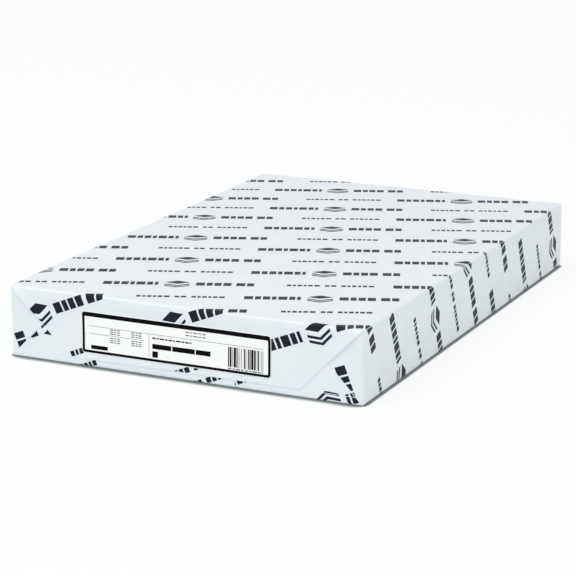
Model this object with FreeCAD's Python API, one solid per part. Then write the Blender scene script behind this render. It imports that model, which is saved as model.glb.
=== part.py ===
"""A sealed ream of large-format paper, in millimetres.

The block of sheets lies flat in one printed sheet of wrapping paper. The wrapper closes with a lap
along the underside and with folded ends: at each end the sides are tucked in first, then the flap
from the underside is folded up and the flap from the top is folded down over both. A paper label
is stuck on the flap of the front end.

X runs across the pack, Y along it from the labelled end to the back, Z up. The origin is the middle
of the underside.
"""
import FreeCAD, Part
import math
import os

Vector = FreeCAD.Vector

# Block of sheets
SHEET_WIDTH = 304.8
SHEET_LENGTH = 457.2
SHEET_COUNT = 500
SHEET_THICKNESS = 0.116

# Wrapper
WRAP_ALLOWANCE = 0.35  # paper and air outside the block, on each side
EDGE_RADIUS = 2.5
FOLD_STEP = 0.25  # how far a folded flap stands off the one under it
TOP_FLAP_GAP = 6.3  # from the top flap's free edge down to the underside
LAP_OFFSET = 46.0  # from the middle to the edge of the lap under the pack
LAP_STEP = 0.2
LAP_RAMP = 7.0  # over which the inner layer comes down again beside the lap

# Print on the wrapper: a heavy broken line with a stack mark, and a light broken line
INK = 0.08
PRINT_TILT = 22.0  # degrees, rising to the right
PRINT_START = (68.0, 34.0)  # where one heavy line starts, from the middle of the top
ROW_STEP = 38.0
ROW_PERIOD = 230.0
HEAVY_BARS = (44.0, 28.0, 14.0)
HEAVY_HEIGHT = 8.8
LIGHT_BARS = (26.0, 9.0, 26.0)
LIGHT_HEIGHT = 4.4
BAR_GAP = 4.0
MARK_GAP = 5.0
MARK_WIDTH = 20.0
MARK_RISE = 4.6  # from the middle of the mark's top sheet to its upper corner
MARK_STROKE = 2.3
MARK_PITCH = 4.2
LIGHT_START = 146.0  # along the row, from the start of its heavy line
SPECK = 1.5  # square millimetres: scraps of print up to this size are left out

# Label
LABEL_WIDTH = 164.5
LABEL_HEIGHT = 33.8
LABEL_THICKNESS = 0.15
LABEL_CORNER = 3.0
LABEL_SHIFT = -5.4  # its middle from the pack's middle, across
LABEL_DROP = 1.2  # its middle below half the pack's height
LABEL_MARGIN = 0.5
FRAME_TOP = 2.7
FRAME_SIDE = 1.7
FRAME_BOTTOM = 1.6

# Plain marks on the label, measured from the inside of its frame
DIVIDER_X = 57.5
RULE_WIDTH = 0.35
RULE_INSET = 4.0  # from the ends of a rule to the frame or the divider
HEAD_RULE_DROP = 8.6
FORM_RULE_DROP = 14.7
FORM_BLOCK = (9.0, 4.2)
FORM_BLOCK_INSETS = (23.0, 42.0)
FORM_BLOCK_DROPS = (11.2, 18.0)  # to the middle of a block
NAME_BAR = (15.0, 3.2)
NAME_BAR_INSET = 6.0
NAME_BAR_RISE = 1.6
TITLE_HEIGHT = 4.0
TITLE_INSET = 3.0
TITLE_DROP = 16.0
TITLE_GAP = 15.0  # from its end to the row of bars
LINE_BAR = (34.0, 1.2)
LINE_DROP = 12.0
HEAD_BAR = (18.0, 0.9)
HEAD_BAR_INSET = 32.0
HEAD_BAR_DROPS = (2.6, 5.2)
TILE_GAP = 1.9  # from the title down to the square tile
TILE_RISE = 1.7  # from the frame up to it
BARCODE_DROP = 10.0
BARCODE_RISE = 2.8
BARCODE_INSET = 4.5  # from the right inside edge of the frame
BARCODE_UNIT = 0.48
BARCODE_WIDTHS = (2, 1, 3, 1, 1, 2, 4, 1, 2, 2, 1, 3, 1, 4, 2, 1, 1, 3, 2, 1, 2, 1, 4, 1, 3, 2, 1, 1, 2, 3, 1, 2, 1)

# Worked out from the above
PACK_WIDTH = SHEET_WIDTH + 2 * WRAP_ALLOWANCE
PACK_HEIGHT = SHEET_COUNT * SHEET_THICKNESS + 2 * WRAP_ALLOWANCE
TUCK_LENGTH = SHEET_LENGTH + 2 * WRAP_ALLOWANCE
BOTTOM_FLAP_LENGTH = TUCK_LENGTH + 2 * FOLD_STEP
TOP_FLAP_LENGTH = BOTTOM_FLAP_LENGTH + 2 * FOLD_STEP
TOP_FLAP_DEPTH = PACK_HEIGHT - TOP_FLAP_GAP
BEND_SAVING = (2 - math.pi / 2) * EDGE_RADIUS  # what a rounded edge saves over a sharp one
MITRE_REACH = EDGE_RADIUS * (1 - math.cos(math.radians(45)))  # from the sharp edge to mid bend
CLEAR = 5.0  # how far a cutting shape reaches past what it cuts


def prism(points, direction):
    """A straight prism over a closed outline of points."""
    outline = Part.makePolygon(points + points[:1])
    return Part.Face(outline).extrude(direction)


def end_prism(outline):
    """A prism through the whole pack, over an outline of (x, z) points on its end."""
    length = TOP_FLAP_LENGTH + 2 * CLEAR
    return prism([Vector(x, -length / 2, z) for x, z in outline], Vector(0, length, 0))


def rounded_block(length, grow):
    """The pack as a plain block of this length with rounded edges, grown by this much all round."""
    width, height = PACK_WIDTH + 2 * grow, PACK_HEIGHT + 2 * grow
    corner = Vector(-width / 2, -length / 2 - grow, -grow)
    block = Part.makeBox(width, length + 2 * grow, height, corner)
    return block.makeFillet(EDGE_RADIUS + grow, block.Edges)


def top_flap_zone():
    """Where the end shows the top flap: mitred at 45 degrees from both top corners."""
    half, depth = PACK_WIDTH / 2, TOP_FLAP_DEPTH
    return end_prism([
        (-half - CLEAR, PACK_HEIGHT + CLEAR),
        (half + CLEAR, PACK_HEIGHT + CLEAR),
        (half - depth, PACK_HEIGHT - depth),
        (depth - half, PACK_HEIGHT - depth),
    ])


def bottom_flap_zone():
    """Where the bottom flap lies over the tucks, up to where the two mitres meet."""
    half, meet = PACK_WIDTH / 2, PACK_HEIGHT / 2
    return end_prism([
        (-half - CLEAR, -CLEAR),
        (half + CLEAR, -CLEAR),
        (half - meet, meet),
        (meet - half, meet),
    ])


def lap_cut():
    """The space beside the edge of the wrapper's lap, under the pack."""
    length = TOP_FLAP_LENGTH + 2 * CLEAR
    section = [
        Vector(LAP_OFFSET, -length / 2, -LAP_STEP),
        Vector(LAP_OFFSET, -length / 2, LAP_STEP),
        Vector(LAP_OFFSET + LAP_RAMP, -length / 2, 0),
        Vector(LAP_OFFSET + LAP_RAMP, -length / 2, -LAP_STEP),
    ]
    return prism(section, Vector(0, length, 0))


def folded_pack(grow=0.0):
    """The tucked block with the bottom flaps and then the top flaps standing proud of it."""
    bottom_flaps = rounded_block(BOTTOM_FLAP_LENGTH, grow).common(bottom_flap_zone())
    top_flaps = rounded_block(TOP_FLAP_LENGTH, grow).common(top_flap_zone())
    return rounded_block(TUCK_LENGTH, grow).fuse([bottom_flaps, top_flaps]).removeSplitter()


def wrapped_ream():
    return folded_pack().cut(lap_cut())


def clip(outline, a, b, c):
    """The part of a convex outline of 2-D points where a x + b y <= c."""
    kept = []
    for (x0, y0), (x1, y1) in zip(outline, outline[1:] + outline[:1]):
        over0, over1 = a * x0 + b * y0 - c, a * x1 + b * y1 - c
        if over0 <= 0:
            kept.append((x0, y0))
        if over0 * over1 < 0:
            share = over0 / (over0 - over1)
            kept.append((x0 + share * (x1 - x0), y0 + share * (y1 - y0)))
    return kept


def area(outline):
    pairs = zip(outline, outline[1:] + outline[:1])
    return abs(sum(x0 * y1 - x1 * y0 for (x0, y0), (x1, y1) in pairs)) / 2


def bar(start, length, height):
    """A bar along the row, on its centre line."""
    return [
        (start, -height / 2),
        (start + length, -height / 2),
        (start + length, height / 2),
        (start, height / 2),
    ]


def stack_mark(start):
    """Three sheets seen from a corner: a filled one over the near edges of two more."""
    middle, half = start + MARK_WIDTH / 2, MARK_WIDTH / 2
    lift = MARK_PITCH
    shapes = [[
        (middle - half, lift),
        (middle, lift - MARK_RISE),
        (middle + half, lift),
        (middle, lift + MARK_RISE),
    ]]
    for sheet in (1, 2):
        side = lift - sheet * MARK_PITCH
        for sign in (-1, 1):
            shapes.append([
                (middle + sign * half, side),
                (middle + sign * half, side - MARK_STROKE),
                (middle, side - MARK_RISE - MARK_STROKE),
                (middle, side - MARK_RISE),
            ])
    return shapes


def motif():
    """Every shape of one repeat of the print, along an untilted row."""
    shapes, place = [], 0.0
    for number, length in enumerate(HEAVY_BARS):
        shapes.append(bar(place, length, HEAVY_HEIGHT))
        place += length + BAR_GAP
        if number == 0:
            place += MARK_GAP - BAR_GAP
            shapes += stack_mark(place)
            place += MARK_WIDTH + MARK_GAP
    place = LIGHT_START
    for length in LIGHT_BARS:
        shapes.append(bar(place, length, LIGHT_HEIGHT))
        place += length + BAR_GAP
    return shapes


def flat_print():
    """The whole print on the wrapper laid flat, in (s, t): s across the pack from the middle of its
    top, t along it."""
    tilt = math.radians(PRINT_TILT)
    cos, sin = math.cos(tilt), math.sin(tilt)
    start_s, start_t = PRINT_START
    reach = PACK_WIDTH + PACK_HEIGHT + TUCK_LENGTH / 2 + PACK_HEIGHT
    columns, rows = math.ceil(reach / ROW_PERIOD) + 1, math.ceil(reach / ROW_STEP)
    shapes = []
    for row in range(-rows, rows + 1):
        for column in range(-columns, columns + 1):
            along = (column + 0.5 * (row % 2)) * ROW_PERIOD
            for shape in motif():
                shapes.append([
                    (start_s + cos * (p + along) - sin * (q + row * ROW_STEP),
                     start_t + sin * (p + along) + cos * (q + row * ROW_STEP))
                    for p, q in shape
                ])
    return shapes


def visible_outlines():
    """Outlines of what an end shows, as (inset from one side, height) points."""
    low, high, meet = MITRE_REACH, PACK_HEIGHT - MITRE_REACH, PACK_HEIGHT / 2
    gap, width = TOP_FLAP_GAP, PACK_WIDTH
    depth = TOP_FLAP_DEPTH
    return {
        "top_flap": [(depth, gap), (width - depth, gap), (width - low, high), (low, high)],
        "strip": [(low, low), (width - low, low), (width - gap, gap), (gap, gap)],
        "corner": [(gap, gap), (depth, gap), (meet, meet)],
        "tuck": [(low, low), (meet, meet), (low, high)],
    }


def panels():
    """For each flat face that carries print: how a point of the flat sheet lies on it as (a, b), the
    half-planes that bound it there, and the vectors that place (a, b) in the pack."""
    # The flat sheet's coordinate of a sharp edge, as seen from the face past it
    top_edge = PACK_WIDTH / 2 - BEND_SAVING
    low_edge = top_edge + PACK_HEIGHT - BEND_SAVING
    across, along, up = Vector(1, 0, 0), Vector(0, 1, 0), Vector(0, 0, 1)
    half_x, half_y = PACK_WIDTH / 2 - MITRE_REACH, TUCK_LENGTH / 2 - MITRE_REACH
    outlines = visible_outlines()

    found = [(
        lambda s, t: (s, t),
        [(-half_x, -half_y), (half_x, -half_y), (half_x, half_y), (-half_x, half_y)],
        (Vector(0, 0, PACK_HEIGHT), across, along, up),
    )]
    for side in (-1, 1):
        found.append((
            lambda s, t, side=side: (t, PACK_HEIGHT + top_edge - side * s),
            [(-half_y, MITRE_REACH), (half_y, MITRE_REACH),
             (half_y, PACK_HEIGHT - MITRE_REACH), (-half_y, PACK_HEIGHT - MITRE_REACH)],
            (Vector(side * PACK_WIDTH / 2, 0, 0), along, up, Vector(side, 0, 0)),
        ))
    for end in (-1, 1):
        faces = {
            length: (Vector(0, end * length / 2, 0), end)
            for length in (TUCK_LENGTH, BOTTOM_FLAP_LENGTH, TOP_FLAP_LENGTH)
        }
        top_start = TOP_FLAP_LENGTH / 2 - BEND_SAVING
        bottom_start = BOTTOM_FLAP_LENGTH / 2 - BEND_SAVING
        tuck_start = TUCK_LENGTH / 2 - BEND_SAVING
        found.append((
            lambda s, t, end=end: (s, PACK_HEIGHT + top_start - end * t),
            [(x - PACK_WIDTH / 2, z) for x, z in outlines["top_flap"]],
            (faces[TOP_FLAP_LENGTH][0], across, up, Vector(0, end, 0)),
        ))
        for side in (-1, 1):
            def inward(x, z, side=side):
                return (side * (PACK_WIDTH / 2 - x), z)

            found.append((
                lambda s, t, end=end, side=side: (
                    side * (PACK_WIDTH / 2 - (end * t - tuck_start)),
                    PACK_HEIGHT + top_edge - side * s,
                ),
                [inward(x, z) for x, z in outlines["tuck"]],
                (faces[TUCK_LENGTH][0], across, up, Vector(0, end, 0)),
            ))
            strip = [inward(x, z) for x, z in outlines["strip"]]
            lap_side = clip(strip, -side, 0, -side * LAP_OFFSET)
            for outline in (lap_side, [inward(x, z) for x, z in outlines["corner"]]):
                found.append((
                    lambda s, t, end=end, side=side: (
                        side * (PACK_WIDTH / 2 - (side * s - low_edge)),
                        end * t - bottom_start,
                    ),
                    outline,
                    (faces[BOTTOM_FLAP_LENGTH][0], across, up, Vector(0, end, 0)),
                ))
    return found


def half_planes(outline):
    """The (a, b, c) of each edge of a convex outline, with the outline where a x + b y <= c."""
    centre = [sum(values) / len(outline) for values in zip(*outline)]
    planes = []
    for (x0, y0), (x1, y1) in zip(outline, outline[1:] + outline[:1]):
        a, b = y1 - y0, x0 - x1
        c = a * x0 + b * y0
        if a * centre[0] + b * centre[1] > c:
            a, b, c = -a, -b, -c
        planes.append((a, b, c))
    return planes


def wrapper_print():
    """The print as thin solids on the wrapper's top, sides and ends, with none under the label."""
    skin = folded_pack(INK).cut(folded_pack())
    shapes = flat_print()
    solids = []
    for to_panel, outline, (origin, first, second, out) in panels():
        bounds = half_planes(outline)
        prisms = []
        for shape in shapes:
            piece = [to_panel(s, t) for s, t in shape]
            for a, b, c in bounds:
                piece = clip(piece, a, b, c)
                if not piece:
                    break
            if len(piece) < 3 or area(piece) < SPECK:
                continue
            foot = origin - out * MITRE_REACH
            points = [foot + first * a + second * b for a, b in piece]
            prisms.append(prism(points, out * (MITRE_REACH + 2 * INK)))
        if prisms:
            solids += skin.common(Part.Compound(prisms)).Solids
    bare = Part.Compound(solids).cut(label_plate(LABEL_THICKNESS))
    return Part.Compound([solid for solid in bare.Solids if solid.Volume > SPECK * INK])


def front_face():
    """The height of the label's middle and the plane that it is stuck on."""
    return PACK_HEIGHT / 2 - LABEL_DROP, -TOP_FLAP_LENGTH / 2


def rounded_plate(left, low, width, height, corner, back, thickness):
    """A plate with rounded corners that lies on the plane y = back and faces the front."""
    plate = Part.makeBox(width, thickness, height, Vector(left, back - thickness, low))
    upright = [e for e in plate.Edges if abs(e.tangentAt(e.FirstParameter).y) > 0.5]
    return plate.makeFillet(corner, upright) if corner > 0 else plate


def label_plate(thickness):
    middle, back = front_face()
    left, low = LABEL_SHIFT - LABEL_WIDTH / 2, middle - LABEL_HEIGHT / 2
    return rounded_plate(left, low, LABEL_WIDTH, LABEL_HEIGHT, LABEL_CORNER, back, thickness)


def label_window():
    """Left, low, width and height of the field inside the label's frame."""
    middle, _ = front_face()
    left = LABEL_SHIFT - LABEL_WIDTH / 2 + LABEL_MARGIN + FRAME_SIDE
    low = middle - LABEL_HEIGHT / 2 + LABEL_MARGIN + FRAME_BOTTOM
    width = LABEL_WIDTH - 2 * LABEL_MARGIN - 2 * FRAME_SIDE
    height = LABEL_HEIGHT - 2 * LABEL_MARGIN - FRAME_TOP - FRAME_BOTTOM
    return left, low, width, height


def label_frame():
    middle, back = front_face()
    front = back - LABEL_THICKNESS
    outer = rounded_plate(
        LABEL_SHIFT - LABEL_WIDTH / 2 + LABEL_MARGIN, middle - LABEL_HEIGHT / 2 + LABEL_MARGIN,
        LABEL_WIDTH - 2 * LABEL_MARGIN, LABEL_HEIGHT - 2 * LABEL_MARGIN,
        LABEL_CORNER - LABEL_MARGIN, front, INK)
    inner = rounded_plate(
        *label_window(), LABEL_CORNER - LABEL_MARGIN - FRAME_BOTTOM, front + INK, 3 * INK)
    return outer.cut(inner)


def label_print():
    """Rules, blocks and a row of bars on the label. They spell nothing."""
    left, low, width, height = label_window()
    top, right = low + height, left + width
    front = front_face()[1] - LABEL_THICKNESS
    marks = []

    def mark(x, z, size):
        marks.append(Part.makeBox(size[0], INK, size[1], Vector(x, front - INK, z)))

    divider = left + DIVIDER_X
    mark(left + RULE_INSET, top - HEAD_RULE_DROP, (width - 2 * RULE_INSET, RULE_WIDTH))
    mark(left + RULE_INSET, top - FORM_RULE_DROP, (DIVIDER_X - 2 * RULE_INSET, RULE_WIDTH))
    mark(divider, low + RULE_WIDTH, (RULE_WIDTH, height - HEAD_RULE_DROP - 2 * RULE_WIDTH))
    for drop in FORM_BLOCK_DROPS:
        for inset in FORM_BLOCK_INSETS:
            mark(left + inset, top - drop - FORM_BLOCK[1] / 2, FORM_BLOCK)
    mark(left + NAME_BAR_INSET, low + NAME_BAR_RISE, NAME_BAR)
    for drop in HEAD_BAR_DROPS:
        mark(divider + HEAD_BAR_INSET, top - drop - HEAD_BAR[1], HEAD_BAR)
    title_left, title_low = divider + TITLE_INSET, top - TITLE_DROP - TITLE_HEIGHT
    place = right - BARCODE_INSET - BARCODE_UNIT * sum(BARCODE_WIDTHS)
    mark(title_left, top - LINE_DROP, LINE_BAR)
    mark(title_left, title_low, (place - TITLE_GAP - title_left, TITLE_HEIGHT))
    tile = title_low - TILE_GAP - TILE_RISE - low
    mark(title_left, low + TILE_RISE, (tile, tile))
    barcode_height = height - BARCODE_DROP - BARCODE_RISE
    for number, units in enumerate(BARCODE_WIDTHS):
        if number % 2 == 0:
            mark(place, low + BARCODE_RISE, (units * BARCODE_UNIT, barcode_height))
        place += units * BARCODE_UNIT
    return Part.Compound(marks)


def main():
    os.makedirs("parts", exist_ok=True)
    parts = {
        "wrapped_ream": wrapped_ream(),
        "wrapper_print": wrapper_print(),
        "end_label": label_plate(LABEL_THICKNESS),
        "label_frame": label_frame(),
        "label_print": label_print(),
    }
    for name, shape in parts.items():
        shape.exportStep(f"parts/{name}.step")


main()
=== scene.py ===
"""The looks of a sealed ream of large-format paper, in metres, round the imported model.

The wrapper is one folded skin: a sleeve of top, sides and underside, with the tucks and flaps of
both ends at their own depths. Everything printed or stuck on it follows the same folds, so each
piece is laid out on the flat sheet and carried onto the skin by the same functions.
"""

import math

import bmesh
import bpy
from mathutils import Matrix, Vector, noise


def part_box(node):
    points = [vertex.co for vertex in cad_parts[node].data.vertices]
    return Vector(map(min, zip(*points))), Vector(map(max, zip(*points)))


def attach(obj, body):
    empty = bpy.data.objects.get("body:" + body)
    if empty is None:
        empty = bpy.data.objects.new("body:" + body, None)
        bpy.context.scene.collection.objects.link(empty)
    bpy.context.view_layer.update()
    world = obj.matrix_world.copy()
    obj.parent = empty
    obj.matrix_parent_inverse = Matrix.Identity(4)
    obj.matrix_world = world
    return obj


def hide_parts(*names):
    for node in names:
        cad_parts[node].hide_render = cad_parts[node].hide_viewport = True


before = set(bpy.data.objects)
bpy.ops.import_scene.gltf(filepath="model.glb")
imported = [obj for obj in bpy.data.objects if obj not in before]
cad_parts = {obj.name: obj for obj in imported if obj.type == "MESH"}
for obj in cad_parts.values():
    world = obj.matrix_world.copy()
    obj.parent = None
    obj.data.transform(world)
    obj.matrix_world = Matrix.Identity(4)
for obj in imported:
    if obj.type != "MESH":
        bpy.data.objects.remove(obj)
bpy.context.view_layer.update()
MM = 0.001

# The pack, from the frame
LOW, HIGH = (Vector(corner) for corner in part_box("wrapped_ream"))
LABEL_LOW, LABEL_HIGH = (Vector(corner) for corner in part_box("end_label"))
HALF_W = (HIGH.x - LOW.x) / 2
HEIGHT = HIGH.z
MIDDLE = HEIGHT / 2
TOP_LENGTH = HIGH.y - LOW.y

# The wrapper's folds, as in the model
RADIUS = 2.5 * MM
FOLD_STEP = 0.25 * MM
FLAP_GAP = 6.3 * MM
LAP_OFFSET = 46.0 * MM
LAP_STEP = 0.2 * MM
LAP_RAMP = 7.0 * MM
BOTTOM_LENGTH = TOP_LENGTH - 2 * FOLD_STEP
TUCK_LENGTH = BOTTOM_LENGTH - 2 * FOLD_STEP
FLAP_DEPTH = HEIGHT - FLAP_GAP
BEND = math.pi / 2 * RADIUS
CORE_W = HALF_W - RADIUS

# The skin's mesh
BEND_STEPS = 5
SKIN_STEP = 3.2 * MM
UNDERCUT = 0.6 * MM  # how far a lower layer runs on under the fold above it at most
SHARP = math.radians(35)  # bends of more than this are shaded as edges
WELD = 1e-7  # points closer than this become one
SAME = 1e-9  # lengths closer than this are the same

# The skin's small unevenness
CREASE = 10.0  # how sharp the upright edges get at their foot, with 0 for as round as higher up
FLOOR_FADE = 2 * RADIUS  # up to here the unevenness fades towards the floor
BROAD_SWELL = (0.16 * MM, 105 * MM)  # height and length of the waves
FINE_SWELL = (0.05 * MM, 30 * MM)
PUCKER_DEPTH, PUCKER_LENGTH = 0.32 * MM, 21 * MM
PUCKER_REACH = 7 * MM
END_SWELL = (0.30 * MM, 42 * MM)
END_SWELL_FADE = 4 * RADIUS  # how far under their upper fold the ends have it in full
LIFT_LEAST, LIFT_MORE = 0.20 * MM, 0.55 * MM  # the free edge's least lift, and the most that waves add
LIFT_LENGTH, LIFT_REACH = 48 * MM, 7 * MM
END_HOLLOW = 0.8 * MM  # how far back the ends lie halfway up
HOLLOW_REACH = 30 * MM
BROW_LEFT, BROW_RIGHT = 0.9 * MM, 0.3 * MM  # how far the ends bulge just under their upper fold
BROW_CREST, BROW_FOOT = 4.5 * MM, 20 * MM  # how far under the fold it is highest, and ends
BROW_REACH = 6 * MM
LEFT_GAPE, RIGHT_GAPE = 1.8 * MM, 0.95 * MM  # how far the top flap's mitred edges stand off at most
BOTTOM_GAPE = 0.5 * MM
GAPE_REACH = 6 * MM
GAPE_END = 0.58  # how far down from its fold a flap gapes, as a share of the pack's height
TOP_GAPE_SPAN, BOTTOM_GAPE_SPAN = (0.09, 0.32), (0.28, 0.40)  # where it gapes most, the same way
LIP = 1.7 * MM  # how far in from the mitre a flap rolls over to its edge
LIP_SHARES = (0.15, 0.35, 0.63, 0.86, 1.07, 1.3, 2, 3)  # where print is cut beside it

# Where in the noise each kind of unevenness is taken, so that no two are alike
FINE_SHIFT = Vector((3, 7, 1))
PUCKER_SHIFT = Vector((11, 2, 5))
END_SHIFT = Vector((1, 4, 9))
LIFT_SHIFT = Vector((6, 6, 1))

# The print, as in the model
PRINT_TILT = math.radians(22)
PRINT_START = (68.0 * MM, 34.0 * MM)
ROW_STEP = 38.0 * MM
ROW_PERIOD = 230.0 * MM
HEAVY_BARS = (44.0 * MM, 28.0 * MM, 14.0 * MM)
HEAVY_HEIGHT = 8.8 * MM
LIGHT_BARS = (26.0 * MM, 9.0 * MM, 26.0 * MM)
LIGHT_HEIGHT = 4.4 * MM
LIGHT_START = 146.0 * MM  # from the start of the heavy bars
BAR_GAP = 4.0 * MM
MARK_GAP = 5.0 * MM
MARK_WIDTH = 20.0 * MM
MARK_RISE = 4.6 * MM
MARK_STROKE = 2.3 * MM
MARK_PITCH = 4.2 * MM

# The blocks that each bar is made of, the slits between them, and the ink
HEAVY_BLOCKS = (7.0 * MM, 4.6 * MM, 5.6 * MM, 3.4 * MM)
HEAVY_SLIT = 1.5 * MM
LIGHT_BLOCKS = (3.6 * MM, 2.4 * MM)
LIGHT_SLIT = 1.2 * MM
INK = 0.08 * MM  # how far the print stands off the paper
RESTING_SHARE = 0.25  # what is left of that where the pack lies on it
INK_CELL = 4.0 * MM
INK_INSET = 0.25 * MM  # from a fold's edge to the ink that it cuts off

# The label
LABEL_THICKNESS = 0.15 * MM
LABEL_CORNER = 3.0 * MM
CORNER_STEPS = 6
LABEL_MARGIN = 0.5 * MM
FRAME_TOP, FRAME_SIDE, FRAME_BOTTOM = 2.7 * MM, 1.7 * MM, 1.6 * MM
MORE_TOP, MORE_SIDE, MORE_BOTTOM = 0.9 * MM, 0.4 * MM, 0.5 * MM  # ink inwards of the model's frame
LABEL_INK = 0.03 * MM
LABEL_CELL = 4.0 * MM

# The label's marks, from the inside of its frame
DIVIDER_X = 57.5 * MM
RULE_WIDTH = 0.35 * MM
RULE_INSET = 4.0 * MM
HEAD_RULE_DROP = 8.6 * MM
FORM_RULE_DROP = 14.7 * MM
FORM_BLOCK = (9.0 * MM, 4.2 * MM)
FORM_LINES = 3  # lines of fine print in each block, with gaps as high as they are
FORM_BLOCK_INSETS = (23.0 * MM, 42.0 * MM)
FORM_BLOCK_DROPS = (11.2 * MM, 18.0 * MM)
NAME_BAR = (15.0 * MM, 3.2 * MM)
NAME_BAR_INSET = 6.0 * MM
NAME_BAR_RISE = 1.6 * MM
TITLE_HEIGHT = 4.0 * MM
TITLE_INSET = 3.0 * MM
TITLE_DROP = 16.0 * MM
TITLE_GAP = 15.0 * MM
TITLE_SHARES = (0.34, 0.40, 0.26)
LINE_BAR = (34.0 * MM, 1.2 * MM)
LINE_DROP = 12.0 * MM
HEAD_BAR = (18.0 * MM, 0.9 * MM)
HEAD_BAR_INSET = 32.0 * MM
HEAD_BAR_DROPS = (2.6 * MM, 5.2 * MM)
TILE_GAP = 1.9 * MM
TILE_RISE = 1.7 * MM
BARCODE_DROP = 10.0 * MM
BARCODE_RISE = 2.8 * MM
FOOT_LINE_RISE, FOOT_LINE_HEIGHT = BARCODE_RISE / 3, BARCODE_RISE / 2.5  # fine print under the bars
BARCODE_INSET = 4.5 * MM
BARCODE_UNIT = 0.48 * MM
BARCODE_WIDTHS = (2, 1, 3, 1, 1, 2, 4, 1, 2, 2, 1, 3, 1, 4, 2, 1, 1,
                  3, 2, 1, 2, 1, 4, 1, 3, 2, 1, 1, 2, 3, 1, 2, 1)  # bars and gaps in turn
DASHES = (3.1 * MM, 1.7 * MM, 4.0 * MM, 2.3 * MM)  # the fine print's, with a gap after each
DASH_GAP = 0.8 * MM

# Colours from their darkest to their lightest, shine, and noise in waves a metre
WRAPPER_PAPER = (0.800, 0.852, 0.893), (0.826, 0.874, 0.912)
WRAPPER_INK = (0.008, 0.009, 0.020), (0.018, 0.019, 0.038)
LABEL_PAPER = (0.975, 0.98, 0.982), (0.988, 0.99, 0.99)
LABEL_BLACK = (0.002, 0.002, 0.003), (0.006, 0.006, 0.007)
LABEL_GREY = (0.16, 0.165, 0.17), (0.24, 0.245, 0.25)
INK_SHINE = 0.1
LABEL_SHINE = 0.03
SHEEN = 140
GRAIN = 2600

# The stage, fitted to the photo
FLOOR_SIZE = 14
FLOOR_DROP = 0.05 * MM  # how far the floor lies under the pack
FLOOR_PAINT = (0.88, 0.91, 0.90, 1)
FLOOR_GLOW = 0.85  # how much of what the camera sees of the floor is its own white
SHADOW_TONE = (0.07, 0.10, 0.105, 1)
SHADOW_FULL, SHADOW_NONE = 0.62, 0.84  # how open the floor is where the contact shadow is full, and gone
END_SHADOW = 12 * MM  # how far the contact shadow's shading reaches, before the ends and beside the sides
SIDE_SHADOW = 5.5 * MM
WORLD_LIGHT = 0.75
LAMP_SIZE = 1.6
KEY_PLACE, KEY_POWER = (-1.1, -1.45, 2.7), 30.5
FILL_PLACE, FILL_POWER = (2.2, -1.0, 1.2), 6
SENSOR_WIDTH = 36  # millimetres, as a lens has them
FOCAL_LENGTH, PHOTO_WIDTH = 2180, 576  # pixels
CAMERA_PLACE = (0.7586, -1.6402, 0.5095)
CAMERA_DOWN, CAMERA_TURN = math.radians(15.248), math.radians(25.322)


# Folding

def unroll(along, half):
    """Where a point of the flat sheet, this far along it from the middle of a face, lies over a face
    of this half width: its place along the face, and how far past the sharp edge it has turned."""
    sign = math.copysign(1, along)
    past = abs(along) - (half - RADIUS)
    if past <= 0:
        return along, 0.0
    if past <= BEND / 2:
        return sign * (half - RADIUS + RADIUS * math.tan(past / RADIUS)), 0.0
    if past < BEND:
        return sign * half, RADIUS - RADIUS * math.tan((BEND - past) / RADIUS)
    return sign * half, RADIUS + past - BEND


def smooth(value, low, high):
    """0 below low, 1 above high and a smooth step between."""
    share = min(1.0, max(0.0, (value - low) / (high - low)))
    return share * share * (3 - 2 * share)


def wave(point, settings):
    height, length = settings
    return height * noise.noise(point / length)


def gape(depth, from_mitre, span):
    """The share of a mitred edge's lift, this deep from the fold and this far from the mitre. It is
    full between the two depths of span, which are shares of the pack's height."""
    rise = smooth(depth, 0.0, span[0] * HEIGHT)
    fall = 1 - smooth(depth, span[1] * HEIGHT, GAPE_END * HEIGHT)
    return rise * fall * math.exp(-(from_mitre / GAPE_REACH) ** 2)


def lip(from_mitre):
    """The share of the lift left where the flap's edge rolls over, round as a quarter of an ellipse."""
    return math.sqrt(1 - max(0.0, 1 - max(0.0, from_mitre) / LIP) ** 2)


def end_swell(point, length, from_side, from_top):
    """What the folded ends have besides: their hollow and brow, and what their flaps stand off."""
    out = wave(point + END_SHIFT, END_SWELL) * smooth(from_top, 0, END_SWELL_FADE)
    out -= END_HOLLOW * math.sin(math.pi * point.z / HEIGHT) * smooth(from_side, 0, HOLLOW_REACH)
    brow = BROW_RIGHT + (BROW_LEFT - BROW_RIGHT) * (0.5 - point.x / (2 * HALF_W))
    brow *= smooth(from_top, 0, BROW_CREST) * (1 - smooth(from_top, BROW_CREST, BROW_FOOT))
    out += brow * smooth(from_side, 0, BROW_REACH)
    if length == TOP_LENGTH:
        lift = LIFT_LEAST + LIFT_MORE * noise.noise(point / LIFT_LENGTH + LIFT_SHIFT) ** 2
        out += lift * math.exp(-((point.z - FLAP_GAP) / LIFT_REACH) ** 2)
        lift = LEFT_GAPE if point.x < 0 else RIGHT_GAPE
        from_mitre = from_side - from_top
        out += lift * gape(from_top, from_mitre, TOP_GAPE_SPAN) * lip(from_mitre)
    elif length == BOTTOM_LENGTH:
        from_mitre = from_side - point.z
        out += BOTTOM_GAPE * gape(point.z, from_mitre, BOTTOM_GAPE_SPAN) * lip(from_mitre)
    return out


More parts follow.
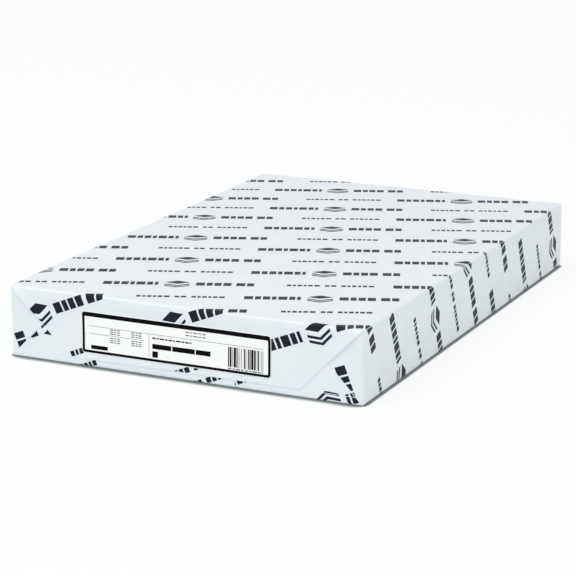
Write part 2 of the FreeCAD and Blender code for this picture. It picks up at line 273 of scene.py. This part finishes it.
def swell(point, length):
    """How far the skin stands off its true form at a point of the sharp-edged pack of this length."""
    out = wave(point, BROAD_SWELL) + wave(point + FINE_SHIFT, FINE_SWELL)
    from_side = HALF_W - abs(point.x)
    from_end = TOP_LENGTH / 2 - abs(point.y)
    from_top = HEIGHT - point.z
    # The nearest edge of the pack is where two of these are small
    to_edge = sorted((from_side, from_end, from_top))[1]
    pucker = max(0.0, noise.noise(point / PUCKER_LENGTH + PUCKER_SHIFT))
    out -= PUCKER_DEPTH * pucker * math.exp(-(to_edge / PUCKER_REACH) ** 2)
    if from_end < RADIUS:
        out += end_swell(point, length, from_side, from_top)
    return out * smooth(point.z, 0.0, FLOOR_FADE)


def creased(offset):
    """How much further out than a round corner the skin lies, this way from the corner's middle."""
    power = 2 + CREASE * (max(0.0, -offset.z) / RADIUS) ** 2
    level = (abs(offset.x) ** power + abs(offset.y) ** power) ** (1 / power)
    return offset.length / math.hypot(level, offset.z)


def fold(point, length, above=0.0):
    """Where a point of the sharp-edged pack of this length lies on the skin, or this far above it."""
    core = Vector((
        max(-CORE_W, min(CORE_W, point.x)),
        max(RADIUS - length / 2, min(length / 2 - RADIUS, point.y)),
        max(RADIUS, min(HEIGHT - RADIUS, point.z)),
    ))
    offset = point - core
    above *= RESTING_SHARE + (1 - RESTING_SHARE) * smooth(point.z, 0.0, RADIUS)
    place = core + offset.normalized() * (RADIUS * creased(offset) + swell(point, length) + above)
    if point.z == 0 and LAP_OFFSET <= point.x <= LAP_OFFSET + LAP_RAMP:
        place.z += LAP_STEP * (1 - (point.x - LAP_OFFSET) / LAP_RAMP)
    return place


# The skin

def steps(low, high):
    """Even places from low to high, both ends included."""
    count = max(1, round((high - low) / SKIN_STEP))
    return [low + (high - low) * k / count for k in range(count + 1)]


# How far in from a sharp edge points lie: over a bend, on to where mitres meet, and on to a free edge
BEND_INSETS = [RADIUS * (1 - math.tan(math.pi / 4 * k / BEND_STEPS)) for k in range(BEND_STEPS, -1, -1)]
INSETS = BEND_INSETS + steps(RADIUS, FLAP_GAP)[1:] + steps(FLAP_GAP, MIDDLE)[1:]
DEPTHS = INSETS + [HEIGHT - e for e in reversed(INSETS) if FLAP_GAP - SAME <= e < MIDDLE - SAME]
CORE_Y = steps(RADIUS - TUCK_LENGTH / 2, TUCK_LENGTH / 2 - RADIUS)


def edged(half):
    """Places across a face from one sharp edge to the other."""
    left = [e - half for e in BEND_INSETS]
    return left + steps(RADIUS - half, half - RADIUS)[1:-1] + [-x for x in reversed(left)]


def lengthwise(end, insets):
    """Places along the pack from one end to the other, over the bends at these insets from each."""
    return [e - end for e in insets] + CORE_Y + [end - e for e in reversed(insets)]


def under(inset):
    """How far a lower layer runs on under the fold above it, at this distance from the corner."""
    return UNDERCUT * min(1.0, inset / RADIUS, (MIDDLE - inset) / RADIUS)


class Skin:
    """A mesh in the making."""

    def __init__(self):
        self.verts, self.faces = [], []

    def row(self, points, length):
        """The numbers of new points, folded from those of the sharp-edged pack of this length."""
        first = len(self.verts)
        self.verts += [fold(Vector(p), length) for p in points]
        return list(range(first, len(self.verts)))

    def join(self, one, other):
        """A strip of faces between two rows of as many points."""
        for k in range(len(one) - 1):
            self.faces.append((one[k], one[k + 1], other[k + 1], other[k]))

    def grid(self, rows):
        """Strips of faces between all neighbours of these rows, which it gives back."""
        for one, other in zip(rows, rows[1:]):
            self.join(one, other)
        return rows


def top_rows(skin):
    """The top with its two flaps, from the front flap's free edge to the back one's."""
    across = edged(HALF_W)
    end = TOP_LENGTH / 2

    def flap(sign):
        return [skin.row([(x * (HALF_W - d) / HALF_W, sign * end, HEIGHT - d) for x in across],
                         TOP_LENGTH) for d in DEPTHS]

    front, back = flap(-1), flap(1)
    panel = [skin.row([(x, y, HEIGHT) for x in across], TOP_LENGTH)
             for y in lengthwise(end, BEND_INSETS[1:])]
    return skin.grid(front[::-1] + panel + back), len(DEPTHS)


def side_rows(skin, side):
    """A side with the tucks at both ends, from the front tuck's tip to the back one's."""
    up = [z + MIDDLE for z in edged(MIDDLE)]
    end = TUCK_LENGTH / 2

    def tuck(sign):
        rows = []
        for e in INSETS:
            share = 1 - e / MIDDLE
            row = [MIDDLE + (z - MIDDLE) * share for z in up]
            row[0] -= under(e)
            row[-1] += under(e)
            rows.append(skin.row([(side * (HALF_W - e), sign * end, z) for z in row], TUCK_LENGTH))
        return rows

    # One more place than the bend needs, to go with the longer top and bottom
    bend = BEND_INSETS[1:-1] + [(BEND_INSETS[-2] + RADIUS) / 2]
    front, back = tuck(-1), tuck(1)
    panel = [skin.row([(side * HALF_W, y, z) for z in up], TUCK_LENGTH) for y in lengthwise(end, bend)]
    return skin.grid(front[::-1] + panel + back)


def bottom_rows(skin):
    """The underside with what shows of its flaps: a strip, and a corner at each side above it."""
    end = BOTTOM_LENGTH / 2
    half_gap = HALF_W - FLAP_GAP
    corner_width = HEIGHT - 2 * FLAP_GAP
    bend = [e * half_gap / HALF_W for e in BEND_INSETS]
    shares = [x / corner_width for x in bend + steps(bend[-1], corner_width)[1:]]
    middle = [x * (HALF_W - FLAP_DEPTH) / HALF_W for x in edged(HALF_W)][1:-1]
    corner = [share * corner_width - half_gap for share in shares]
    across = corner + middle + [-x for x in reversed(corner)]
    count = len(shares)

    def strip(sign):
        rows = []
        for h in INSETS:
            if h > FLAP_GAP + SAME:
                break
            row = [(x * (HALF_W - h) / half_gap, sign * end, h) for x in across]
            if h > FLAP_GAP - SAME:
                row = [(x, y, z + (UNDERCUT if count - 1 <= k <= len(row) - count else 0))
                       for k, (x, y, z) in enumerate(row)]
            rows.append(skin.row(row, BOTTOM_LENGTH))
        return rows

    def corners(sign, base):
        """The corner rows at both sides over the strip's top row."""
        found = []
        for side in (-1, 1):
            rows = [base[:count] if side < 0 else base[:-count - 1:-1]]
            for h in INSETS:
                if h > FLAP_GAP + SAME:
                    places = [h + share * (HEIGHT - 2 * h) for share in shares]
                    places[-1] += under(h)
                    rows.append(skin.row(
                        [(side * (HALF_W - x), sign * end, h) for x in places], BOTTOM_LENGTH))
            found.append(skin.grid(rows))
        return found

    front, back = strip(-1), strip(1)
    panel = [skin.row([(x * HALF_W / half_gap, y, 0.0) for x in across], BOTTOM_LENGTH)
             for y in lengthwise(end, BEND_INSETS[1:])]
    skin.grid(front[::-1] + panel + back)
    lips = {}
    for sign, rows in ((-1, front), (1, back)):
        left, right = corners(sign, rows[-1])
        free = rows[-1][count - 1:len(across) - count + 1]
        lips[sign] = {
            # From the corner of the pack up to where the mitres meet, along the tucks
            -1: [row[0] for row in rows[:-1]] + [row[0] for row in left],
            1: [row[-1] for row in rows[:-1]] + [row[0] for row in right],
            # From where the mitres meet down to the free edge, along it and up again
            "free": [row[-1] for row in left[::-1]] + free[1:-1] + [row[-1] for row in right],
        }
    return front[::-1] + panel + back, len(front), lips


def folded_skin():
    """The whole skin, with its walls between layers of different depth."""
    skin = Skin()
    top, flap_count = top_rows(skin)
    sides = {side: side_rows(skin, side) for side in (-1, 1)}
    bottom, strip_count, lips = bottom_rows(skin)
    tuck_count, bend_count = len(INSETS), len(BEND_INSETS) - 1
    for sign in (-1, 1):
        ordered_top = top if sign < 0 else top[::-1]
        ordered_bottom = bottom if sign < 0 else bottom[::-1]
        free = []
        for side in (-1, 1):
            rows = sides[side] if sign < 0 else sides[side][::-1]
            column = 0 if side < 0 else -1
            # From the meeting of the mitres to the first place that all the layers share
            upper = ordered_top[flap_count - tuck_count:flap_count + bend_count + 1]
            top_edge = [row[column] for row in upper]
            side_top = [row[-1] for row in rows[:tuck_count + bend_count + 1]]
            skin.join(top_edge, side_top)
            low_edge = lips[sign][side][::-1]
            low_edge += [row[column] for row in ordered_bottom[strip_count:strip_count + bend_count + 1]]
            side_low = [row[0] for row in rows[:tuck_count + bend_count + 1]]
            skin.join(low_edge, side_low)
            skin.faces.append((top_edge[0], side_top[0], low_edge[0]))
            free.append([row[column] for row in ordered_top[flap_count - tuck_count::-1]])
        top_free = free[0] + ordered_top[0][1:-1] + free[1][::-1]
        skin.join(top_free, lips[sign]["free"])
    return skin


def new_object(name, verts, faces, material):
    """A mesh object with welded points, outward faces and smooth shading up to its folds."""
    mesh = bpy.data.meshes.new(name)
    mesh.from_pydata([tuple(v) for v in verts], [], faces)
    work = bmesh.new()
    work.from_mesh(mesh)
    bmesh.ops.remove_doubles(work, verts=work.verts, dist=WELD)
    bmesh.ops.dissolve_degenerate(work, edges=work.edges, dist=WELD)
    bmesh.ops.recalc_face_normals(work, faces=work.faces)
    for face in work.faces:
        face.smooth = True
    work.to_mesh(mesh)
    work.free()
    mesh.set_sharp_from_angle(angle=SHARP)
    mesh.materials.append(material)
    piece = bpy.data.objects.new(name, mesh)
    bpy.context.scene.collection.objects.link(piece)
    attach(piece, "root")
    return piece


# Shapes laid on the skin

def clip(outline, a, b, c):
    """The part of a convex outline of 2-D points where a x + b y <= c."""
    kept = []
    for (x0, y0), (x1, y1) in zip(outline, outline[1:] + outline[:1]):
        over0, over1 = a * x0 + b * y0 - c, a * x1 + b * y1 - c
        if over0 <= 0:
            kept.append((x0, y0))
        if over0 * over1 < 0:
            share = over0 / (over0 - over1)
            kept.append((x0 + share * (x1 - x0), y0 + share * (y1 - y0)))
    return kept


def half_planes(outline, inset):
    """The (a, b, c) of each edge of a convex outline, moved in by inset."""
    centre = [sum(values) / len(outline) for values in zip(*outline)]
    planes = []
    for (x0, y0), (x1, y1) in zip(outline, outline[1:] + outline[:1]):
        size = math.hypot(x1 - x0, y1 - y0)
        a, b = (y1 - y0) / size, (x0 - x1) / size
        c = a * x0 + b * y0
        if a * centre[0] + b * centre[1] > c:
            a, b, c = -a, -b, -c
        planes.append((a, b, c - inset))
    return planes


def cut_to(outline, planes):
    """What is left of a convex outline inside all these half planes."""
    for a, b, c in planes:
        outline = clip(outline, a, b, c)
        if len(outline) < 3:
            return []
    return outline


def cells(outline, breaks):
    """A convex outline cut along each family of lines a x + b y = place."""
    pieces = [outline]
    for a, b, places in breaks:
        found = []
        for rest in pieces:
            values = [a * x + b * y for x, y in rest]
            low, high = min(values), max(values)
            for place in places:
                if low < place < high:
                    part, rest = clip(rest, a, b, place), clip(rest, -a, -b, -place)
                    if len(part) > 2:
                        found.append(part)
            if len(rest) > 2:
                found.append(rest)
        pieces = found
    return pieces


def laid(shapes, place, breaks):
    """Points and faces of flat shapes carried onto the skin, where place(a, b) gives a point."""
    verts, faces, known = [], [], {}
    for shape in shapes:
        for piece in cells(shape, breaks):
            face = []
            for a, b in piece:
                key = (round(a / WELD), round(b / WELD))
                if key not in known:
                    known[key] = len(verts)
                    verts.append(place(a, b))
                if known[key] not in face:
                    face.append(known[key])
            if len(face) > 2:
                faces.append(face)
    return verts, faces


def rectangle(x, y, width, height):
    return [(x, y), (x + width, y), (x + width, y + height), (x, y + height)]


def stack_mark(start):
    """Three sheets seen from a corner: a filled one over the near edges of two more."""
    middle, half, lift = start + MARK_WIDTH / 2, MARK_WIDTH / 2, MARK_PITCH
    shapes = [[(middle - half, lift), (middle, lift - MARK_RISE),
               (middle + half, lift), (middle, lift + MARK_RISE)]]
    for sheet in (1, 2):
        side = lift - sheet * MARK_PITCH
        for sign in (-1, 1):
            shapes.append([
                (middle + sign * half, side),
                (middle + sign * half, side - MARK_STROKE),
                (middle, side - MARK_RISE - MARK_STROKE),
                (middle, side - MARK_RISE),
            ])
    return shapes


def blocks(x, y, length, height, widths, slit, least=0.0):
    """A bar in blocks of uneven width, with its lower left corner at (x, y). A block takes in what it
    would leave over if that is less than least."""
    shapes, place, number = [], 0.0, 0
    while place < length - slit:
        width = min(widths[number % len(widths)], length - place)
        if length - place - width < least:
            width = length - place
        shapes.append(rectangle(x + place, y, width, height))
        place += width + slit
        number += 1
    return shapes


def motif():
    """Every shape of one repeat of the print, along an untilted row."""
    shapes, place = [], 0.0
    for number, length in enumerate(HEAVY_BARS):
        shapes += blocks(place, -HEAVY_HEIGHT / 2, length, HEAVY_HEIGHT,
                         HEAVY_BLOCKS, HEAVY_SLIT, HEAVY_BLOCKS[-1])
        place += length + BAR_GAP
        if number == 0:
            place += MARK_GAP - BAR_GAP
            shapes += stack_mark(place)
            place += MARK_WIDTH + MARK_GAP
    place = LIGHT_START
    for length in LIGHT_BARS:
        shapes += blocks(place, -LIGHT_HEIGHT / 2, length, LIGHT_HEIGHT,
                         LIGHT_BLOCKS, LIGHT_SLIT, LIGHT_BLOCKS[-1])
        place += length + BAR_GAP
    return shapes


def flat_print():
    """The whole print on the wrapper laid flat, from the middle of its top."""
    cos, sin = math.cos(PRINT_TILT), math.sin(PRINT_TILT)
    start_s, start_t = PRINT_START
    reach = 2 * HALF_W + TUCK_LENGTH / 2 + 2 * HEIGHT
    columns, rows = math.ceil(reach / ROW_PERIOD) + 1, math.ceil(reach / ROW_STEP)
    shapes = []
    for row in range(-rows, rows + 1):
        for column in range(-columns, columns + 1):
            # Every second row lies half a repeat further on
            along = (column + 0.5 * (row % 2)) * ROW_PERIOD
            for shape in motif():
                shapes.append([(start_s + cos * (p + along) - sin * (q + row * ROW_STEP),
                                start_t + sin * (p + along) + cos * (q + row * ROW_STEP))
                               for p, q in shape])
    return shapes


def print_zones():
    """Each stretch of the flat sheet that shows on the pack: its convex outline there, where its points
    lie, and the lines along which print is cut beside its mitres."""
    side_middle = CORE_W + BEND + MIDDLE - RADIUS
    low_middle = side_middle + MIDDLE - RADIUS + BEND + CORE_W

    def reach(length, inset):
        """Along the flat sheet to a point on the end, this far in from the sharp edge."""
        return length / 2 - RADIUS + BEND + inset - RADIUS

    def outline(half, length, depth):
        """A face with its folded ends, mitred at 45 degrees down to this depth."""
        wide, near = half - RADIUS + BEND / 2, length / 2 - RADIUS + BEND / 2
        far = reach(length, depth)
        narrow = half - depth
        return [(wide, -near), (wide, near), (narrow, far), (-narrow, far),
                (-wide, near), (-wide, -near), (-narrow, -far), (narrow, -far)]

    def on_top(s, t):
        x, _ = unroll(s, HALF_W)
        y, fall = unroll(t, TOP_LENGTH / 2)
        return fold(Vector((x, y, HEIGHT - fall)), TOP_LENGTH, INK)

    zones = [(outline(HALF_W, TOP_LENGTH, FLAP_DEPTH), on_top, lip_breaks(0, TOP_LENGTH))]
    for side in (-1, 1):
        def on_side(s, t, side=side):
            z, _ = unroll(side * s - side_middle, MIDDLE)
            y, inset = unroll(t, TUCK_LENGTH / 2)
            return fold(Vector((side * (HALF_W - inset), y, MIDDLE - z)), TUCK_LENGTH, INK)

        def on_bottom(s, t, side=side):
            x, _ = unroll(side * s - low_middle, HALF_W)
            y, rise = unroll(t, BOTTOM_LENGTH / 2)
            return fold(Vector((-side * x, y, rise)), BOTTOM_LENGTH, INK)

        tucked = outline(MIDDLE, TUCK_LENGTH, MIDDLE)
        zones.append(([(side * (v + side_middle), t) for v, t in tucked], on_side, []))
        beside = lip_breaks(side * low_middle, BOTTOM_LENGTH)
        lower = clip(outline(HALF_W, BOTTOM_LENGTH, FLAP_GAP), 1, 0, -side * LAP_OFFSET)
        zones.append(([(side * (u + low_middle), t) for u, t in lower], on_bottom, beside))
        for end in (-1, 1):
            corner = [(FLAP_GAP, FLAP_GAP), (FLAP_DEPTH, FLAP_GAP), (MIDDLE, MIDDLE)]
            zones.append((
                [(side * (x - HALF_W + low_middle), end * reach(BOTTOM_LENGTH, z)) for x, z in corner],
                on_bottom, beside))
    return zones


def lip_breaks(centre, length):
    """Lines beside the mitres of flaps of this length. Centre is the middle of their panel on the
    flat sheet."""
    mitre = CORE_W + length / 2 - RADIUS + BEND
    places = sorted(centre + sign * (mitre - share * LIP) for share in LIP_SHARES for sign in (-1, 1))
    return [(1, 1, places), (1, -1, places)]


def cell_breaks():
    """Where print is cut into cells on the flat sheet: evenly, and finely over each bend."""
    def over(bends, far):
        places = [k * INK_CELL for k in range(math.ceil(far / INK_CELL) + 1)]
        for start in bends:
            places += [start + BEND * k / (2 * BEND_STEPS) for k in range(2 * BEND_STEPS + 1)]
        return sorted({sign * place for place in places for sign in (-1, 1)})

    low_bend = CORE_W + BEND + HEIGHT - 2 * RADIUS
    return [(1, 0, over((CORE_W, low_bend), low_bend + BEND + 2 * HALF_W)),
            (0, 1, over((TUCK_LENGTH / 2 - RADIUS,), TOP_LENGTH / 2 + HEIGHT))]


def wrapper_print(material):
    shapes, breaks = flat_print(), cell_breaks()
    verts, faces = [], []
    for outline, place, beside in print_zones():
        # A tuck's outline has its tip twice
        corners = [p for k, p in enumerate(outline) if p != outline[k - 1]]
        planes = half_planes(corners, INK_INSET)
        shown = [cut for cut in (cut_to(shape, planes) for shape in shapes) if cut]
        more_verts, more_faces = laid(shown, place, breaks + beside)
        faces += [[k + len(verts) for k in face] for face in more_faces]
        verts += more_verts
    return new_object("wrapper_ink", verts, faces, material)


# The label

def label_place(above):
    """Where a point (x, z) of the label's plane lies, this far above the flap."""
    def place(x, z):
        return fold(Vector((x, -TOP_LENGTH / 2, z)), TOP_LENGTH, above)
    return place


def rounded_outline(low, high, corner):
    """A rectangle with rounded corners, as (x, z) points."""
    points = []
    for sx, sz, start in ((1, 1, 0), (-1, 1, 90), (-1, -1, 180), (1, -1, 270)):
        cx = (high[0] - corner) if sx > 0 else (low[0] + corner)
        cz = (high[1] - corner) if sz > 0 else (low[1] + corner)
        for k in range(CORNER_STEPS + 1):
            angle = math.radians(start + 90 * k / CORNER_STEPS)
            points.append((cx + corner * math.cos(angle), cz + corner * math.sin(angle)))
    return points


def grid_breaks():
    reach = math.ceil(2 * HALF_W / LABEL_CELL)
    places = [k * LABEL_CELL for k in range(-reach, reach + 1)]
    return [(1, 0, places), (0, 1, places)]


def label_window():
    """The lowest and highest corner of the field inside the frame."""
    low = (LABEL_LOW.x + LABEL_MARGIN + FRAME_SIDE, LABEL_LOW.z + LABEL_MARGIN + FRAME_BOTTOM)
    high = (LABEL_HIGH.x - LABEL_MARGIN - FRAME_SIDE, LABEL_HIGH.z - LABEL_MARGIN - FRAME_TOP)
    return low, high


def label_sheet(material):
    outline = rounded_outline((LABEL_LOW.x, LABEL_LOW.z), (LABEL_HIGH.x, LABEL_HIGH.z), LABEL_CORNER)
    verts, faces = laid([outline], label_place(LABEL_THICKNESS), grid_breaks())
    piece = new_object("label_paper", verts, faces, material)
    thickness = piece.modifiers.new("thickness", "SOLIDIFY")
    thickness.thickness = LABEL_THICKNESS
    thickness.offset = -1
    return piece


def label_print(name, shapes, material):
    verts, faces = laid(shapes, label_place(LABEL_THICKNESS + LABEL_INK), grid_breaks())
    return new_object(name, verts, faces, material)


def label_frame(material):
    low, high = label_window()
    outer = rounded_outline(
        (low[0] - FRAME_SIDE, low[1] - FRAME_BOTTOM), (high[0] + FRAME_SIDE, high[1] + FRAME_TOP),
        LABEL_CORNER - LABEL_MARGIN)
    inner = rounded_outline(
        (low[0] + MORE_SIDE, low[1] + MORE_BOTTOM), (high[0] - MORE_SIDE, high[1] - MORE_TOP),
        LABEL_CORNER - LABEL_MARGIN - FRAME_BOTTOM)
    shapes = [[outer[k], outer[k - 1], inner[k - 1], inner[k]] for k in range(len(outer))]
    return label_print("label_border", shapes, material)


def dashes(x, z, length, height):
    """A line of fine print, with its lower left corner at (x, z)."""
    return blocks(x, z, length, height, DASHES, DASH_GAP)


def label_marks():
    """Black and grey shapes as on a plain form. They spell nothing."""
    (left, low), (right, top) = label_window()
    divider = left + DIVIDER_X
    title_left, title_low = divider + TITLE_INSET, top - TITLE_DROP - TITLE_HEIGHT
    barcode = right - BARCODE_INSET - BARCODE_UNIT * sum(BARCODE_WIDTHS)
    width = right - left
    grey = [
        rectangle(left + RULE_INSET, top - HEAD_RULE_DROP, width - 2 * RULE_INSET, RULE_WIDTH),
        rectangle(left + RULE_INSET, top - FORM_RULE_DROP, DIVIDER_X - 2 * RULE_INSET, RULE_WIDTH),
        rectangle(divider, low + RULE_WIDTH, RULE_WIDTH, top - low - HEAD_RULE_DROP - 2 * RULE_WIDTH),
    ]
    line = FORM_BLOCK[1] / (2 * FORM_LINES - 1)
    for drop in FORM_BLOCK_DROPS:
        block_low = top - drop - FORM_BLOCK[1] / 2
        for inset in FORM_BLOCK_INSETS:
            for number in range(FORM_LINES):
                grey += dashes(left + inset, block_low + 2 * number * line, FORM_BLOCK[0], line)
    for drop in HEAD_BAR_DROPS:
        grey += dashes(divider + HEAD_BAR_INSET, top - drop - HEAD_BAR[1], *HEAD_BAR)
    grey += dashes(barcode, low + FOOT_LINE_RISE, right - BARCODE_INSET - barcode, FOOT_LINE_HEIGHT)

    black = dashes(title_left, top - LINE_DROP, *LINE_BAR)
    black.append(rectangle(left + NAME_BAR_INSET, low + NAME_BAR_RISE, *NAME_BAR))
    room = barcode - TITLE_GAP - title_left - (len(TITLE_SHARES) - 1) * DASH_GAP
    place = title_left
    for share in TITLE_SHARES:
        black.append(rectangle(place, title_low, share * room, TITLE_HEIGHT))
        place += share * room + DASH_GAP
    tile = title_low - TILE_GAP - TILE_RISE - low
    black.append(rectangle(title_left, low + TILE_RISE, tile, tile))
    place = barcode
    height = top - low - BARCODE_DROP - BARCODE_RISE
    for number, units in enumerate(BARCODE_WIDTHS):
        if number % 2 == 0:
            black.append(rectangle(place, low + BARCODE_RISE, units * BARCODE_UNIT, height))
        place += units * BARCODE_UNIT
    return black, grey


# Materials

class Nodes:
    """A principled material in the making."""

    def __init__(self, name, roughness):
        self.material = bpy.data.materials.new(name)
        self.material.use_nodes = True
        self.tree = self.material.node_tree
        self.shader = self.tree.nodes["Principled BSDF"]
        self.shader.inputs["Roughness"].default_value = roughness
        self.place = self.tree.nodes.new("ShaderNodeTexCoord").outputs["Object"]

    def noise(self, scale, detail):
        node = self.tree.nodes.new("ShaderNodeTexNoise")
        node.inputs["Scale"].default_value = scale
        node.inputs["Detail"].default_value = detail
        self.tree.links.new(self.place, node.inputs["Vector"])
        return node.outputs["Fac"]

    def ramp(self, value, low, high, first, last):
        """A colour that goes from first to last as value goes from low to high."""
        node = self.tree.nodes.new("ShaderNodeValToRGB")
        node.color_ramp.elements[0].position, node.color_ramp.elements[1].position = low, high
        node.color_ramp.elements[0].color, node.color_ramp.elements[1].color = (*first, 1), (*last, 1)
        self.tree.links.new(value, node.inputs["Fac"])
        return node.outputs["Color"]

    def spread(self, value, low, high):
        """A number that goes from low to high as value goes from 0 to 1."""
        node = self.tree.nodes.new("ShaderNodeMapRange")
        node.inputs["To Min"].default_value, node.inputs["To Max"].default_value = low, high
        self.tree.links.new(value, node.inputs["Value"])
        return node.outputs["Result"]

    def bump(self, layers):
        """Bumps of (height source, depth in metres), one on another."""
        normal = None
        for height, depth in layers:
            node = self.tree.nodes.new("ShaderNodeBump")
            node.inputs["Distance"].default_value = depth
            self.tree.links.new(height, node.inputs["Height"])
            if normal:
                self.tree.links.new(normal, node.inputs["Normal"])
            normal = node.outputs["Normal"]
        self.tree.links.new(normal, self.shader.inputs["Normal"])

    def set(self, name, value):
        self.shader.inputs[name].default_value = value

    def link(self, value, name):
        self.tree.links.new(value, self.shader.inputs[name])


def wrapper_paper():
    m = Nodes("wrapper_paper", 0.42)
    m.link(m.ramp(m.noise(55, 5), 0.35, 0.65, *WRAPPER_PAPER), "Base Color")
    m.link(m.spread(m.noise(SHEEN, 4), 0.36, 0.50), "Roughness")
    m.bump([(m.noise(210, 3), 0.06 * MM), (m.noise(GRAIN, 2), 0.012 * MM)])
    return m.material


def wrapper_ink():
    m = Nodes("wrapper_ink", 0.36)
    m.set("Specular IOR Level", INK_SHINE)
    m.link(m.ramp(m.noise(420, 5), 0.3, 0.7, *WRAPPER_INK), "Base Color")
    m.link(m.spread(m.noise(SHEEN, 4), 0.30, 0.44), "Roughness")
    m.bump([(m.noise(GRAIN, 2), 0.01 * MM)])
    return m.material


def label_paper():
    m = Nodes("label_paper", 0.4)
    m.link(m.ramp(m.noise(80, 4), 0.35, 0.65, *LABEL_PAPER), "Base Color")
    m.bump([(m.noise(1900, 3), 0.01 * MM)])
    return m.material


def label_ink(name, dark, light):
    m = Nodes(name, 0.5)
    m.set("Specular IOR Level", LABEL_SHINE)
    m.link(m.ramp(m.noise(600, 3), 0.3, 0.7, dark, light), "Base Color")
    return m.material


# Stage

def floor_material():
    """White where the camera looks straight at it, with a narrow shadow where the pack stands."""
    material = bpy.data.materials.new("floor")
    material.use_nodes = True
    tree = material.node_tree
    tree.nodes.clear()
    output = tree.nodes.new("ShaderNodeOutputMaterial")
    lit = tree.nodes.new("ShaderNodeBsdfDiffuse")
    lit.inputs["Color"].default_value = FLOOR_PAINT
    shown = tree.nodes.new("ShaderNodeEmission")
    near = tree.nodes.new("ShaderNodeAmbientOcclusion")
    place = tree.nodes.new("ShaderNodeSeparateXYZ")
    tree.links.new(tree.nodes.new("ShaderNodeTexCoord").outputs["Object"], place.inputs["Vector"])
    beside = tree.nodes.new("ShaderNodeMath")
    beside.operation = "ABSOLUTE"
    tree.links.new(place.outputs["X"], beside.inputs[0])
    reach = tree.nodes.new("ShaderNodeMapRange")
    for name, value in (("From Min", HALF_W - RADIUS), ("From Max", HALF_W + RADIUS),
                        ("To Min", END_SHADOW), ("To Max", SIDE_SHADOW)):
        reach.inputs[name].default_value = value
    tree.links.new(beside.outputs["Value"], reach.inputs["Value"])
    tree.links.new(reach.outputs["Result"], near.inputs["Distance"])
    tone = tree.nodes.new("ShaderNodeValToRGB")
    tone.color_ramp.elements[0].position = SHADOW_FULL
    tone.color_ramp.elements[1].position = SHADOW_NONE
    tone.color_ramp.elements[0].color = SHADOW_TONE
    tone.color_ramp.elements[1].color = (1, 1, 1, 1)
    tree.links.new(near.outputs["AO"], tone.inputs["Fac"])
    tree.links.new(tone.outputs["Color"], shown.inputs["Color"])
    both = tree.nodes.new("ShaderNodeMixShader")
    both.inputs["Fac"].default_value = FLOOR_GLOW
    tree.links.new(lit.outputs["BSDF"], both.inputs[1])
    tree.links.new(shown.outputs["Emission"], both.inputs[2])
    rays = tree.nodes.new("ShaderNodeLightPath")
    pick = tree.nodes.new("ShaderNodeMixShader")
    tree.links.new(rays.outputs["Is Camera Ray"], pick.inputs["Fac"])
    tree.links.new(lit.outputs["BSDF"], pick.inputs[1])
    tree.links.new(both.outputs["Shader"], pick.inputs[2])
    tree.links.new(pick.outputs["Shader"], output.inputs["Surface"])
    return material


def add_floor():
    bpy.ops.mesh.primitive_plane_add(size=FLOOR_SIZE, location=(0, 0, -FLOOR_DROP))
    floor = bpy.context.object
    floor.name = "floor"
    floor.data.materials.append(floor_material())


def add_light(name, place, power):
    """A square lamp that looks at the middle of the pack's foot."""
    lamp = bpy.data.lights.new(name, "AREA")
    lamp.size, lamp.energy = LAMP_SIZE, power
    light = bpy.data.objects.new(name, lamp)
    light.location = place
    light.rotation_euler = (-Vector(place)).to_track_quat("-Z", "Y").to_euler()
    bpy.context.scene.collection.objects.link(light)


def add_world():
    """Even light from all round, and white where the camera sees it past the floor."""
    world = bpy.data.worlds.new("world")
    bpy.context.scene.world = world
    world.use_nodes = True
    tree = world.node_tree
    tree.nodes.clear()
    light, shown = (tree.nodes.new("ShaderNodeBackground") for _ in range(2))
    for sky, strength in ((light, WORLD_LIGHT), (shown, 1.0)):
        sky.inputs["Color"].default_value = (1, 1, 1, 1)
        sky.inputs["Strength"].default_value = strength
    pick = tree.nodes.new("ShaderNodeMixShader")
    tree.links.new(tree.nodes.new("ShaderNodeLightPath").outputs["Is Camera Ray"], pick.inputs["Fac"])
    tree.links.new(light.outputs["Background"], pick.inputs[1])
    tree.links.new(shown.outputs["Background"], pick.inputs[2])
    output = tree.nodes.new("ShaderNodeOutputWorld")
    tree.links.new(pick.outputs["Shader"], output.inputs["Surface"])


def add_lights():
    add_light("key", KEY_PLACE, KEY_POWER)
    add_light("fill", FILL_PLACE, FILL_POWER)


def add_camera():
    camera = bpy.data.cameras.new("camera")
    camera.lens = SENSOR_WIDTH * FOCAL_LENGTH / PHOTO_WIDTH
    view = bpy.data.objects.new("camera", camera)
    view.location = CAMERA_PLACE
    view.rotation_euler = (math.pi / 2 - CAMERA_DOWN, 0, CAMERA_TURN)
    bpy.context.scene.collection.objects.link(view)
    bpy.context.scene.camera = view


def dress():
    skin = folded_skin()
    wrapper = new_object("wrapper", skin.verts, skin.faces, wrapper_paper())
    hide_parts("wrapped_ream")
    ink = wrapper_print(wrapper_ink())
    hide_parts("wrapper_print")
    label = label_sheet(label_paper())
    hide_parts("end_label")
    black = label_ink("label_ink", *LABEL_BLACK)
    border = label_frame(black)
    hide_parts("label_frame")
    grey = label_ink("label_fine_print", *LABEL_GREY)
    for name, shapes, material in zip(("label_marks", "label_rules"), label_marks(), (black, grey)):
        piece = label_print(name, shapes, material)
        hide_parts("label_print")


dress()
add_floor()
add_world()
add_lights()
add_camera()
bpy.context.scene.view_settings.view_transform = "Standard"
